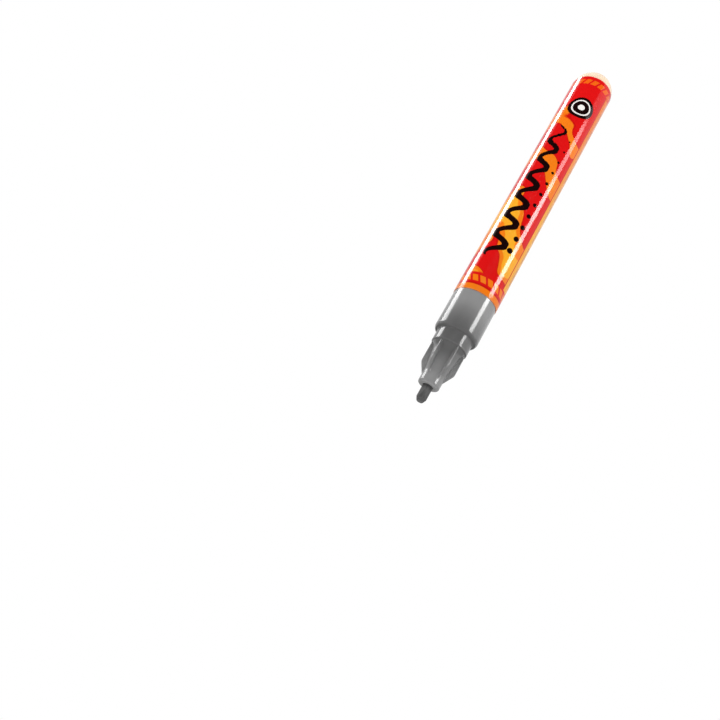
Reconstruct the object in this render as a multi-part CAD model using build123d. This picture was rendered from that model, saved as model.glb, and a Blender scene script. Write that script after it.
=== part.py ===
from build123d import *
import math
import os

# A pump-action paint marker, uncapped, in millimetres. It stands on its nib: the axis is Z, the nib's tip is
# at the origin and the closed end of the barrel is at the top. Radii are stacked outwards from the nib, and
# heights are stacked upwards from its tip.

# Nib: a round rod of pressed fibre with a bevelled writing end
nib_diameter = 3.0
nib_reach = 5.25
nib_end_diameter = 1.9
nib_bevel_length = 1.25
nib_crown = 0.12
nib_back_chamfer = 0.3

# Nozzle: the finned nib holder, with a plug that sits in the collar
nib_clearance = 0.08
tip_wall = 1.67
tip_length = 3.7
tip_edge_radius = 0.7
cone_length = 9.0
channel_gap = 1.42
body_wall = 1.35
nozzle_length = 13.05
plug_length = 6.6
plug_chamfer = 0.4
fin_count = 6
fin_thickness = 0.9
fin_height = 0.85
fin_setback = 2.55
fin_bevel_length = 3.65
fin_phase_degrees = 54.0
guide_rib_count = 4
guide_rib_thickness = 0.7
guide_rib_setback = 2.0

# Valve stem: a cup for the nib's back end, a sealing disc, guide vanes and a boss for the spring
cup_gap = 0.03
cup_wall = 0.47
cup_depth = 1.8
cup_floor = 1.8
disc_thickness = 1.0
disc_overlap = 0.35
stem_boss_length = 2.5
vane_count = 3
vane_thickness = 0.7
vane_length = 3.0
vane_gap = 0.08

# Valve seal: a flat rubber washer on the front of the stem's disc
seal_thickness = 0.7
seal_gap = 0.03
seal_bore_gap = 0.02

# Valve housing: a cup with the valve seat in its front wall
flow_gap = 0.3
disc_flow_gap = 0.4
seat_wall = 1.6
seat_rim_width = 0.35
seat_rim_height = 0.25
housing_wall = 0.85
housing_gap = 0.05
housing_chamfer = 0.3

# Valve spring: a coil of round wire between the stem's disc and the cage
spring_wire_diameter = 0.4
spring_boss_diameter = 2.6
spring_boss_gap = 0.25
spring_turns = 7
spring_seat_gap = 0.03

# Valve cage: the flow windows that close the housing at the back
cage_flange = 1.2
cage_proud = 0.3
cage_rim_depth = 0.8
cage_rim_wall = 0.4
cage_rim_gap = 0.05
cage_boss_length = 2.5
hub_margin = 0.15
window_count = 4
spoke_width = 1.4

# Collar: the cap's neck, the shoulder and the skirt in front, and the spigot that screws into the barrel
plug_gap = 0.05
neck_wall = 1.1
neck_length = 4.2
neck_chamfer = 0.25
skirt_step = 0.25
skirt_length = 12.6
shoulder_chamfer_height = 1.3
shoulder_chamfer_width = 0.6
web_gap = 0.1
web_thickness = 1.2
spigot_wall = 1.2
spigot_length = 7.8
spigot_chamfer = 0.4
thread_depth = 0.35
thread_gap = 0.05
shoulder_gap = 0.03

# Collar gasket: a rubber ring in a groove at the root of the spigot
gasket_section_diameter = 0.84
gasket_gap = 0.02
groove_side_gap = 0.05
groove_setback = 0.5

# Barrel: the paint reservoir, closed at the back by a dome
barrel_wall = 0.94
barrel_length = 92.45
dome_height = 6.6
dome_wall = 1.2
dome_blend_share = 0.85
mouth_chamfer = 0.3

# Label sleeve: the printed film around the barrel
film_thickness = 0.15
film_gap = 0.01
film_setback = 0.1

# Mixing balls: two steel balls, loose in the paint
ball_count = 2
ball_diameter = 5.0
ball_spread = 0.8
ball_rest_gap = 0.05

# How far every cut runs past the material that it cuts
overrun = 1.0

# Radii, from the nib outwards
nib_radius = nib_diameter / 2
guide_radius = nib_radius + nib_clearance
tip_radius = guide_radius + tip_wall
channel_radius = guide_radius + channel_gap
body_radius = channel_radius + body_wall
fin_radius = body_radius + fin_height
plug_bore_radius = body_radius + plug_gap
neck_radius = plug_bore_radius + neck_wall
cup_bore_radius = nib_radius + cup_gap
cup_radius = cup_bore_radius + cup_wall
seat_bore_radius = cup_radius + flow_gap
seat_rim_radius = seat_bore_radius + seat_rim_width
disc_radius = seat_rim_radius + disc_overlap
housing_bore_radius = disc_radius + disc_flow_gap
housing_radius = housing_bore_radius + housing_wall
valve_bore_radius = housing_radius + housing_gap
spigot_radius = valve_bore_radius + spigot_wall
barrel_bore_radius = spigot_radius + thread_depth + thread_gap
barrel_radius = barrel_bore_radius + barrel_wall
film_bore_radius = barrel_radius + film_gap
film_radius = film_bore_radius + film_thickness
skirt_radius = film_radius - skirt_step
spring_boss_radius = spring_boss_diameter / 2
spring_wire_radius = spring_wire_diameter / 2
spring_radius = spring_boss_radius + spring_boss_gap + spring_wire_radius
hub_radius = spring_radius + spring_wire_radius + hub_margin
cage_rim_radius = housing_bore_radius - cage_rim_gap
window_radius = cage_rim_radius - cage_rim_wall
gasket_section_radius = gasket_section_diameter / 2
gasket_radius = barrel_bore_radius - gasket_gap - gasket_section_radius
groove_radius = gasket_radius - gasket_section_radius - gasket_gap
ball_radius = ball_diameter / 2
ball_offset = ball_radius + ball_spread / 2

# Heights, from the nib's tip upwards
nozzle_front = nib_reach
cone_front = nozzle_front + tip_length
cone_back = cone_front + cone_length
fin_front = nozzle_front + fin_setback
neck_front = nozzle_front + nozzle_length
plug_back = neck_front + plug_length
skirt_front = neck_front + neck_length
barrel_front = skirt_front + skirt_length
collar_shoulder = barrel_front - shoulder_gap
web_front = plug_back + web_gap
web_back = web_front + web_thickness
housing_front = web_back + housing_gap
seat_back = housing_front + seat_wall
seat_rim_back = seat_back + seat_rim_height
seal_front = seat_rim_back + seal_gap
disc_front = seal_front + seal_thickness
disc_back = disc_front + disc_thickness
nib_back = disc_front - cup_floor
cup_front = nib_back - cup_depth
spigot_back = barrel_front + spigot_length
cage_back = spigot_back + cage_proud
cage_front = cage_back - cage_flange
ball_rest = cage_back + ball_rest_gap + ball_radius
groove_front = barrel_front + groove_setback
groove_back = groove_front + gasket_section_diameter + 2 * groove_side_gap
gasket_height = (groove_front + groove_back) / 2
dome_base = barrel_front + barrel_length
dome_top = dome_base + dome_height


def rod(radius, bottom, top):
    """A solid cylinder on the axis between two heights."""
    return Pos(0, 0, bottom) * Cylinder(radius, top - bottom, align=(Align.CENTER, Align.CENTER, Align.MIN))


def taper(bottom_radius, top_radius, bottom, top):
    """A solid cone on the axis between two heights."""
    blank = Cone(bottom_radius, top_radius, top - bottom, align=(Align.CENTER, Align.CENTER, Align.MIN))
    return Pos(0, 0, bottom) * blank


def tube(outer, inner, bottom, top):
    """A ring on the axis between two heights."""
    return rod(outer, bottom, top) - rod(inner, bottom - overrun, top + overrun)


def turned(outline):
    """A solid turned about the axis from a closed outline of edges, drawn with radius across and height up."""
    return revolve(Plane.XZ * make_face(outline), axis=Axis.Z)


def plate(points, thickness, angle):
    """A flat radial plate, drawn with radius across and height up, centred on its plane at an angle about Z."""
    face = Plane.XZ * make_face(Polyline(*points, close=True))
    return Rot(0, 0, angle) * extrude(face, amount=thickness / 2, both=True)


def spread(count, phase=0):
    """Even angles around the axis."""
    return [phase + turn * 360 / count for turn in range(count)]


def circle_edge(solid, radius, height):
    """The round edge of a turned solid that lies nearest to a radius and a height."""
    edges = solid.edges().filter_by(GeomType.CIRCLE)
    return min(edges, key=lambda edge: math.hypot(edge.radius - radius, edge.arc_center.Z - height))


def make_nib():
    """The nib, with a bevel and a slightly crowned end."""
    end = (nib_end_diameter / 2, nib_crown)
    crown = TangentArc((0, 0), end, tangent=(1, 0))
    sides = Polyline(
        end,
        (nib_radius, nib_bevel_length),
        (nib_radius, nib_back - nib_back_chamfer),
        (nib_radius - nib_back_chamfer, nib_back),
        (0, nib_back),
        (0, 0),
    )
    return turned([crown, sides])


def make_nozzle():
    """The nib holder: a stepped nose with radial fins outside and guide ribs for the nib inside."""
    nose = rod(tip_radius, nozzle_front, cone_front)
    nose = fillet(circle_edge(nose, tip_radius, nozzle_front), tip_edge_radius)
    nose += taper(tip_radius, body_radius, cone_front, cone_back)
    nose += rod(body_radius, cone_back, plug_back)
    nose = chamfer(circle_edge(nose, body_radius, plug_back), plug_chamfer)
    fin = [
        (0, fin_front),
        (tip_radius, fin_front),
        (fin_radius, fin_front + fin_bevel_length),
        (fin_radius, neck_front),
        (0, neck_front),
    ]
    for angle in spread(fin_count, fin_phase_degrees):
        nose += plate(fin, fin_thickness, angle)
    nose -= taper(guide_radius, channel_radius, cone_front, cone_back)
    nose -= rod(channel_radius, cone_back, plug_back + overrun)
    rib_radius = channel_radius + body_wall / 2
    rib_back = plug_back - guide_rib_setback
    rib = [(0, cone_front), (tip_radius, cone_front), (rib_radius, cone_back), (rib_radius, rib_back), (0, rib_back)]
    for angle in spread(guide_rib_count, fin_phase_degrees):
        nose += plate(rib, guide_rib_thickness, angle)
    return nose - rod(guide_radius, nozzle_front - overrun, plug_back + overrun)


def make_collar():
    """The moulding that carries the nozzle and the valve: neck, shoulder, skirt and screwed spigot."""
    outline = Polyline(
        (0, neck_front),
        (neck_radius - neck_chamfer, neck_front),
        (neck_radius, neck_front + neck_chamfer),
        (neck_radius, skirt_front),
        (skirt_radius - shoulder_chamfer_width, skirt_front),
        (skirt_radius, skirt_front + shoulder_chamfer_height),
        (skirt_radius, collar_shoulder),
        (spigot_radius, collar_shoulder),
        (spigot_radius, spigot_back - spigot_chamfer),
        (spigot_radius - spigot_chamfer, spigot_back),
        (0, spigot_back),
        close=True,
    )
    body = turned(outline)
    body -= rod(plug_bore_radius, neck_front - overrun, web_front)
    body -= rod(seat_bore_radius, web_front - overrun, web_back + overrun)
    body -= rod(valve_bore_radius, web_back, spigot_back + overrun)
    return body - tube(spigot_radius + overrun, groove_radius, groove_front, groove_back)


def make_collar_gasket():
    """The rubber ring that seals the spigot in the barrel."""
    return Pos(0, 0, gasket_height) * Torus(gasket_radius, gasket_section_radius)


def make_valve_housing():
    """The valve's cup, with a raised seat around the hole in its front wall."""
    body = rod(housing_radius, housing_front, cage_front)
    body = chamfer(circle_edge(body, housing_radius, housing_front), housing_chamfer)
    body -= rod(housing_bore_radius, seat_back, cage_front + overrun)
    body += rod(seat_rim_radius, seat_back, seat_rim_back)
    return body - rod(seat_bore_radius, housing_front - overrun, seat_rim_back + overrun)


def make_valve_seal():
    """The rubber washer that the spring presses onto the seat."""
    return tube(disc_radius, cup_radius + seal_bore_gap, seal_front, disc_front)


def make_valve_stem():
    """The stem: nib cup, sealing disc, guide vanes and spring boss."""
    stem = rod(cup_radius, cup_front, disc_front)
    stem -= rod(cup_bore_radius, cup_front - overrun, nib_back)
    stem += rod(disc_radius, disc_front, disc_back)
    stem += rod(spring_boss_radius, disc_front, disc_back + stem_boss_length)
    vane_radius = housing_bore_radius - vane_gap
    vane = [(hub_radius, disc_front), (vane_radius, disc_front)]
    vane += [(vane_radius, disc_back + vane_length), (hub_radius, disc_back + vane_length)]
    for angle in spread(vane_count):
        stem += plate(vane, vane_thickness, angle)
    return stem


def spring_points():
    """Points and directions at every half turn of the spring's centre line."""
    first = disc_back + spring_seat_gap + spring_wire_radius
    last = cage_front - spring_seat_gap - spring_wire_radius
    rise = (last - first) / (2 * math.pi * spring_turns)
    places = []
    for half in range(2 * spring_turns + 1):
        turn = math.pi * half
        place = Vector(spring_radius * math.cos(turn), spring_radius * math.sin(turn), first + rise * turn)
        along = Vector(-spring_radius * math.sin(turn), spring_radius * math.cos(turn), rise)
        places.append((place, along.normalized()))
    return places


def half_turn(start, start_along, end, end_along):
    """The pair of arcs that joins two places of a coil and keeps both directions."""
    step = end - start
    both = start_along + end_along
    square = 2 * start_along.dot(end_along) - 2
    reach = step.dot(both)
    span = step.dot(step)
    arm = (reach - math.sqrt(reach * reach - square * span)) / square
    middle = (start + start_along * arm + end - end_along * arm) * (1 / 2)
    first = Edge.make_tangent_arc(start, start_along, middle)
    second = Edge.make_tangent_arc(middle, (end - end_along * arm) - (start + start_along * arm), end)
    return [first, second]


def make_valve_spring():
    """The valve's return spring, one wire swept around its turns."""
    places = spring_points()
    arcs = []
    for (start, start_along), (end, end_along) in zip(places, places[1:]):
        arcs += half_turn(start, start_along, end, end_along)
    place, along = places[0]
    pitch = (places[-1][0].Z - place.Z) / spring_turns
    print(f"valve spring: least gap between its turns {pitch - spring_wire_diameter:.2f} mm")
    section = Plane(origin=place, z_dir=along) * Circle(spring_wire_radius)
    return sweep(section, path=Wire(arcs))


def make_valve_cage():
    """The cover at the back of the housing, with flow windows around a hub that seats the spring."""
    cover = rod(housing_radius, cage_front, cage_back)
    cover = chamfer(circle_edge(cover, housing_radius, cage_back), housing_chamfer)
    cover += tube(cage_rim_radius, window_radius, cage_front - cage_rim_depth, cage_front)
    windows = tube(window_radius, hub_radius, cage_front - overrun, cage_back + overrun)
    spoke = [(0, cage_front - 2 * overrun), (housing_radius, cage_front - 2 * overrun)]
    spoke += [(housing_radius, cage_back + 2 * overrun), (0, cage_back + 2 * overrun)]
    for angle in spread(window_count):
        windows -= plate(spoke, spoke_width, angle)
    cover -= windows
    return cover + rod(spring_boss_radius, cage_front - cage_boss_length, cage_front)


def dome_arcs(radius, height):
    """The rim and the crown of a dome on the end of the barrel, as two tangent arcs from wall to axis."""
    shorter = min(radius, height)
    longer = max(radius, height)
    small = dome_blend_share * shorter
    inset = longer - small
    large = (inset * inset + shorter * shorter - small * small) / (2 * (shorter - small))
    rim, crown = (small, large) if height < radius else (large, small)
    lean = math.atan2(abs(height - crown), abs(radius - rim))
    joint = (crown * math.cos(lean), dome_base + height - crown + crown * math.sin(lean))
    side = TangentArc((radius, dome_base), joint, tangent=(0, 1))
    cap = TangentArc(joint, (0, dome_base + height), tangent=side % 1)
    return [side, cap]


def make_barrel():
    """The reservoir tube and its dome, with a lead-in at the mouth."""
    lip = (barrel_bore_radius + mouth_chamfer, barrel_front)
    outside = Polyline(lip, (barrel_radius, barrel_front), (barrel_radius, dome_base))
    dome = dome_arcs(barrel_radius, dome_height)
    axis = Line((0, dome_top), (0, dome_top - dome_wall))
    ceiling = dome_arcs(barrel_bore_radius, dome_height - dome_wall)
    inside = Polyline((barrel_bore_radius, dome_base), (barrel_bore_radius, barrel_front + mouth_chamfer), lip)
    return turned([outside, *dome, axis, *ceiling, inside])


def make_label_sleeve():
    """The printed film, a little short of the barrel's straight length at both ends."""
    return tube(film_radius, film_bore_radius, barrel_front + film_setback, dome_base - film_setback)


def make_mixing_ball(angle):
    """A mixing ball where it rests on the valve cage, off the axis at an angle about Z."""
    return Rot(0, 0, angle) * Pos(ball_offset, 0, ball_rest) * Sphere(ball_radius)


def main():
    parts = {
        "nib": make_nib(),
        "nozzle": make_nozzle(),
        "collar": make_collar(),
        "collar_gasket": make_collar_gasket(),
        "valve_housing": make_valve_housing(),
        "valve_seal": make_valve_seal(),
        "valve_stem": make_valve_stem(),
        "valve_spring": make_valve_spring(),
        "valve_cage": make_valve_cage(),
        "barrel": make_barrel(),
        "label_sleeve": make_label_sleeve(),
    }
    for number, angle in enumerate(spread(ball_count), start=1):
        parts[f"mixing_ball_{number}"] = make_mixing_ball(angle)
    os.makedirs("parts", exist_ok=True)
    for name, solid in parts.items():
        export_step(solid, f"parts/{name}.step")


main()
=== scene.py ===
"""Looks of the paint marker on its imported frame: turned meshes, printed label, finishes, studio, camera."""

import logging
import math
from abc import ABC, abstractmethod
from dataclasses import dataclass
from enum import Enum
from typing import Optional, Sequence, Union

import bpy
import numpy as np
from mathutils import Matrix, Vector


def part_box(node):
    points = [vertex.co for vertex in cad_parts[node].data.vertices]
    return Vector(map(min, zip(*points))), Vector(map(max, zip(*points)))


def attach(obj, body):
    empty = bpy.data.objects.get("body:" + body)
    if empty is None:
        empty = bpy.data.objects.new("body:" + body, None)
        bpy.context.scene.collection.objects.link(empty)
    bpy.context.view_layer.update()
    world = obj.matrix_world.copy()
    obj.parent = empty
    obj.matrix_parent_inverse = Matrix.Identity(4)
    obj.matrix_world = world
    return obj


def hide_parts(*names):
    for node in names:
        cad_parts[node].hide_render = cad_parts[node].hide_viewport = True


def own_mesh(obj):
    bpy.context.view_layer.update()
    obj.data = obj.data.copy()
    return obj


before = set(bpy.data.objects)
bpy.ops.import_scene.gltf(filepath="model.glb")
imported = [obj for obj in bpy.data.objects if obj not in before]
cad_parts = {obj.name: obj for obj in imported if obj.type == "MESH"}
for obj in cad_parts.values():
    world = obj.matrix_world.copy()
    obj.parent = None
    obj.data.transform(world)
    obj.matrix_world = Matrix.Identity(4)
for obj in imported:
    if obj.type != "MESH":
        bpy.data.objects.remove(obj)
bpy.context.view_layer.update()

LOG = logging.getLogger("paint_marker")
MM = 0.001
FULL_TURN = 2 * math.pi
NO_RADIUS = 1e-6
AREA_LAMP_FACTOR = 4.0
EDGE_ATTRIBUTE = "edge_mask"

Span = tuple[float, float]
Triple = tuple[float, float, float]
Feed = Union[bool, int, float, Sequence[float], bpy.types.NodeSocket, bpy.types.Material, "Hue", "Term"]
Feeds = dict[Union[str, int], Feed]


class Body(Enum):
    """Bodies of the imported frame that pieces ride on."""

    BARREL = "barrel"
    GASKET = "collar_gasket"
    FRONT = "front_section"
    PLUNGER = "plunger"


class Slot(Enum):
    """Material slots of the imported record."""

    BARREL = "barrel_plastic"
    LABEL = "label_film"
    GREY = "grey_plastic"
    RUBBER = "seal_rubber"
    NIB = "nib_fibre"
    VALVE = "valve_plastic"
    SPRING = "spring_steel"
    BALL = "ball_steel"


class Hue(Enum):
    """Colours of the marker and its studio, as they look in plain light."""

    GREY = "#929292"
    GREY_EDGE = "#a2a2a2"
    CREAM = "#f8dcbf"
    CREAM_SHADE = "#f2d1ad"
    NIB = "#585858"
    NIB_WET = "#383838"
    NIB_FIBRE = "#6c6c6c"
    RED = "#df1415"
    DEEP_RED = "#cd110f"
    FLAME = "#f26615"
    ORANGE = "#f78018"
    AMBER = "#fdb02b"
    BROWN = "#ba6810"
    BLACK = "#170707"
    WHITE = "#f7f3ee"
    RUBBER = "#232323"
    ACETAL = "#e2e1da"
    STEEL = "#c4c4c8"
    PAPER = "#e2e2e2"
    PAPER_BOUNCE = "#a8a8a8"
    # Painted dark reflection: the near-black of sheets that only the gloss sees.
    PAINTED_DARK_REFLECTION = "#0c0c0c"

    @property
    def linear(self) -> tuple[float, float, float, float]:
        """Works the colour out for the shaders.

        Returns:
            Scene-linear red, green, blue and alpha.
        """
        parts = [int(self.value[at : at + 2], 16) / 255 for at in (1, 3, 5)]
        red, green, blue = [c / 12.92 if c <= 0.04045 else ((c + 0.055) / 1.055) ** 2.4 for c in parts]
        return red, green, blue, 1.0


class Term:
    """A value in a node tree. Each operation on it adds a node."""

    def __init__(self, nodes: "NodeBuilder", socket: bpy.types.NodeSocket) -> None:
        """Keeps the socket that gives the value, and the builder of its tree."""
        self.nodes, self.socket = nodes, socket

    def math(self, operation: str, *others: Feed) -> "Term":
        """The result of a Math node that has the term as its first input."""
        return self.nodes.value("ShaderNodeMath", dict(enumerate((self, *others))), operation=operation)

    def __add__(self, other: Feed) -> "Term":
        """The sum."""
        return self.math("ADD", other)

    def __sub__(self, other: Feed) -> "Term":
        """The difference."""
        return self.math("SUBTRACT", other)

    def __mul__(self, other: Feed) -> "Term":
        """The product."""
        return self.math("MULTIPLY", other)

    def __truediv__(self, other: Feed) -> "Term":
        """The quotient."""
        return self.math("DIVIDE", other)

    def __abs__(self) -> "Term":
        """The value without its sign."""
        return self.math("ABSOLUTE")

    def remap(
        self, low: Feed, high: Feed, to_low: Feed = 0.0, to_high: Feed = 1.0, smooth: bool = False
    ) -> "Term":
        """Maps the value from one range to another, held at its ends.

        Args:
            low: Start of the range that it comes from.
            high: End of the range that it comes from.
            to_low: Result at the start.
            to_high: Result at the end.
            smooth: Eases in and out.

        Returns:
            The mapped value.
        """
        kind = "SMOOTHSTEP" if smooth else "LINEAR"
        feeds = {0: self, 1: low, 2: high, 3: to_low, 4: to_high}
        return self.nodes.value("ShaderNodeMapRange", feeds, interpolation_type=kind, clamp=True)

    def above(self, limit: Feed, soft: Feed) -> "Term":
        """A mask that is 1 above a limit, with half the width of its soft edge."""
        return self.remap(limit - soft, limit + soft, smooth=True)

    def below(self, limit: Feed, soft: Feed) -> "Term":
        """A mask that is 1 below a limit, with half the width of its soft edge."""
        return self.remap(limit + soft, limit - soft, smooth=True)

    def band(self, low: Feed, high: Feed, soft: Feed) -> "Term":
        """A mask that is 1 between two limits, with half the width of its soft edges."""
        return self.above(low, soft) * self.below(high, soft)


def distance(across: Term, along: Term) -> Term:
    """The distance from a point, from those in two directions at right angles."""
    return (across * across + along * along).math("SQRT")


class NodeBuilder:
    """Adds nodes to one tree and joins them."""

    def __init__(self, tree: bpy.types.NodeTree) -> None:
        """Keeps the tree that the nodes go into."""
        self.tree = tree

    def feed(self, socket: bpy.types.NodeSocket, value: Feed) -> None:
        """Joins another node's output to a socket, or sets the socket's own value.

        Args:
            socket: The input to fill.
            value: A term or an output socket, or else a colour or a plain value.
        """
        if isinstance(value, Term):
            value = value.socket
        if isinstance(value, bpy.types.NodeSocket):
            self.tree.links.new(value, socket)
        else:
            socket.default_value = value.linear if isinstance(value, Hue) else value

    def add(self, kind: str, feeds: Optional[Feeds] = None, **settings: object) -> bpy.types.Node:
        """Adds one node.

        Args:
            kind: Blender's name of the node type.
            feeds: What goes into its inputs, by name or number.
            **settings: The node's own properties.

        Returns:
            The new node.
        """
        node = self.tree.nodes.new(kind)
        for name, value in settings.items():
            setattr(node, name, value)
        for key, value in (feeds or {}).items():
            self.feed(node.inputs[key], value)
        return node

    def value(
        self, kind: str, feeds: Optional[Feeds] = None, output: Union[str, int] = 0, **settings: object
    ) -> Term:
        """Adds one node and takes one of its outputs, by name or number."""
        return Term(self, self.add(kind, feeds, **settings).outputs[output])

    def place(self) -> Term:
        """The place on the object, in metres from its origin."""
        return self.value("ShaderNodeTexCoord", output="Object")

    def drawn_place(self, squeeze: float, lean: Triple = (0.0, 0.0, 0.0)) -> Term:
        """The place squeezed along the axis, and turned, which draws a noise on it out into lines."""
        feeds = {"Vector": self.place(), "Rotation": lean, "Scale": (1.0, 1.0, squeeze)}
        return self.value("ShaderNodeMapping", feeds)

    def split(self, vector: Feed) -> list[Term]:
        """The three parts of a vector."""
        return [Term(self, part) for part in self.add("ShaderNodeSeparateXYZ", {0: vector}).outputs]

    def noise(self, vector: Feed, scale: Feed, detail: float = 2.0) -> Term:
        """A noise of about 0.5 on average, with its patches to a metre and its octaves."""
        return self.value("ShaderNodeTexNoise", {"Vector": vector, "Scale": scale, "Detail": detail})

    def mix(self, share: Feed, first: Feed, second: Feed) -> Term:
        """The first colour, with a share of the second laid over it."""
        return self.value("ShaderNodeMix", {0: share, 6: first, 7: second}, 2, data_type="RGBA")

    def ray(self, kind: str) -> Term:
        """Whether light comes by a kind of ray, such as Camera or Glossy."""
        return self.value("ShaderNodeLightPath", output=f"Is {kind} Ray")


def blank_nodes(owner: Union[bpy.types.Material, bpy.types.World]) -> NodeBuilder:
    """Empties the node tree of a material or a world.

    Args:
        owner: The material or the world.

    Returns:
        A builder for its nodes.
    """
    owner.use_nodes = True
    owner.node_tree.nodes.clear()
    return NodeBuilder(owner.node_tree)


class SharedEffects:
    """Shader node groups that several finishes use."""

    def __init__(self) -> None:
        """Builds the groups once."""
        self.tone_drift = self._tone_drift()
        self.fine_scuffs = self._fine_scuffs()
        self.edge_polish = self._edge_polish()

    @staticmethod
    def _open(name: str, *inputs: str) -> tuple[NodeBuilder, list[Term]]:
        """Starts a group of plain values.

        Args:
            name: The group's name.
            *inputs: Names of its inputs.

        Returns:
            A builder for the group, and its inputs.
        """
        tree = bpy.data.node_groups.new(name, "ShaderNodeTree")
        for label in inputs:
            tree.interface.new_socket(name=label, in_out="INPUT", socket_type="NodeSocketFloat")
        nodes = NodeBuilder(tree)
        entry = nodes.add("NodeGroupInput")
        return nodes, [Term(nodes, entry.outputs[label]) for label in inputs]

    @staticmethod
    def _close(nodes: NodeBuilder, results: dict[str, Term]) -> bpy.types.NodeTree:
        """Ends a group.

        Args:
            nodes: Builder of the group.
            results: Its outputs, by name.

        Returns:
            The finished group.
        """
        for label in results:
            nodes.tree.interface.new_socket(name=label, in_out="OUTPUT", socket_type="NodeSocketFloat")
        nodes.add("NodeGroupOutput", results)
        return nodes.tree

    def _tone_drift(self) -> bpy.types.NodeTree:
        """Slow and fine drift of tone in a moulded or pressed material.

        Returns:
            The group.
        """
        patch_share, grain_share = 0.7, 0.3
        nodes, (patch_scale, grain_scale) = self._open("tone_drift", "Patch Scale", "Grain Scale")
        patches = nodes.noise(nodes.place(), patch_scale, detail=3.0)
        grain = nodes.noise(nodes.place(), grain_scale)
        return self._close(nodes, {"Tone": (patches * patch_share + grain * grain_share).remap(0.3, 0.7)})

    def _fine_scuffs(self) -> bpy.types.NodeTree:
        """Fine handling marks, mostly along the axis, and the slight waviness of a gloss surface.

        Returns:
            The group.
        """
        few, many, softness, wave_height = 0.74, 0.58, 0.05, 0.35
        nodes, (scale, amount) = self._open("fine_scuffs", "Scale", "Amount")
        lean = (math.radians(9.0), math.radians(6.0), 0.0)
        lines = nodes.noise(nodes.drawn_place(squeeze=0.035, lean=lean), scale, detail=1.0)
        where = nodes.noise(nodes.place(), scale=210.0).remap(0.45, 0.65)
        limit = amount.remap(0.0, 1.0, few, many)
        mask = lines.remap(limit, limit + softness, smooth=True) * where
        waves = nodes.noise(nodes.place(), scale=900.0, detail=1.0) * wave_height
        return self._close(nodes, {"Mask": mask, "Height": waves - mask})

    def _edge_polish(self) -> bpy.types.NodeTree:
        """Rubbed corners, from the mask that the turned meshes carry, broken up along the edge.

        Returns:
            The group.
        """
        nodes, (breakup_scale,) = self._open("edge_polish", "Breakup Scale")
        edge = nodes.value("ShaderNodeAttribute", output="Fac", attribute_name=EDGE_ATTRIBUTE)
        patchy = nodes.noise(nodes.place(), breakup_scale, detail=3.0).remap(0.35, 0.65)
        return self._close(nodes, {"Mask": edge * patchy})


class Surface:
    """A new material with one Principled shader, and the shared effects to place in it."""

    def __init__(self, name: str, effects: Optional[SharedEffects] = None) -> None:
        """Starts the material.

        Args:
            name: The material's name.
            effects: The shared node groups, for a finish that uses them.
        """
        self.material = bpy.data.materials.new(name)
        self.effects = effects
        self.nodes = blank_nodes(self.material)
        self.shader = self.nodes.add("ShaderNodeBsdfPrincipled")
        self.nodes.add("ShaderNodeOutputMaterial", {"Surface": self.shader.outputs[0]})

    def set(self, inputs: dict[str, Feed]) -> None:
        """Fills inputs of the shader, by name."""
        for name, value in inputs.items():
            self.nodes.feed(self.shader.inputs[name], value)

    def bump(self, height: Feed, depth: float, strength: float = 1.0) -> None:
        """Gives the shader a bump, with the depth in millimetres that a height of 1 stands for."""
        feeds = {"Strength": strength, "Distance": depth * MM, "Height": height}
        self.set({"Normal": self.nodes.value("ShaderNodeBump", feeds)})

    def tone(self, patches: float, grain: float) -> Term:
        """Drift of tone, with its patches and its grain to a metre."""
        feeds = {"Patch Scale": patches, "Grain Scale": grain}
        return self.nodes.value("ShaderNodeGroup", feeds, "Tone", node_tree=self.effects.tone_drift)

    def worn(self, breakup: float) -> Term:
        """Mask of rubbed corners, with its breaks to a metre."""
        feeds = {"Breakup Scale": breakup}
        return self.nodes.value("ShaderNodeGroup", feeds, "Mask", node_tree=self.effects.edge_polish)

    def scuffs(self, scale: float, amount: float, depth: float) -> Term:
        """Bumps the surface with fine handling marks.

        Args:
            scale: Marks to a metre.
            amount: How many there are, from 0 to 1.
            depth: Their depth in millimetres.

        Returns:
            The mask of the marks.
        """
        feeds = {"Scale": scale, "Amount": amount}
        marks = self.nodes.add("ShaderNodeGroup", feeds, node_tree=self.effects.fine_scuffs).outputs
        self.bump(marks["Height"], depth)
        return Term(self.nodes, marks["Mask"])


@dataclass(frozen=True)
class Finish(ABC):
    """A finish of the marker, which makes one material."""

    name: str

    def material(self, effects: SharedEffects) -> bpy.types.Material:
        """Builds the material.

        Args:
            effects: The shared node groups.

        Returns:
            The material.
        """
        surface = Surface(self.name, effects)
        self.paint(surface)
        return surface.material

    @abstractmethod
    def paint(self, surface: Surface) -> None:
        """Fills the shader's inputs."""


@dataclass(frozen=True)
class MouldedPlastic(Finish):
    """Moulded plastic: drift of tone, rubbed corners, fine scuffs in the gloss."""

    hue: Hue
    shade: Hue
    edge: Hue
    roughness: float
    scuffs: float
    glow: float = 0.0
    glow_depth: float = 1.2
    glow_reach: Triple = (1.0, 0.75, 0.5)
    shade_share: float = 0.5
    edge_share: float = 0.45
    scuff_haze: float = 0.16
    tone_haze: float = 0.03

    def paint(self, surface: Surface) -> None:
        """Mixes the tones, and dulls the gloss in the scuffs.

        Args:
            surface: The new material.
        """
        tone = surface.tone(patches=130.0, grain=3000.0)
        marks = surface.scuffs(scale=2600.0, amount=self.scuffs, depth=0.002)
        worn = surface.worn(breakup=800.0)
        colour = surface.nodes.mix(tone * self.shade_share, self.hue, self.shade)
        colour = surface.nodes.mix(worn * self.edge_share, colour, self.edge)
        rough = marks * self.scuff_haze + tone * self.tone_haze + self.roughness
        surface.set({"Base Color": colour, "Roughness": rough})
        if self.glow > 0:
            surface.set({"Subsurface Weight": self.glow, "Subsurface Radius": self.glow_reach})
            surface.set({"Subsurface Scale": self.glow_depth * MM})


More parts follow.
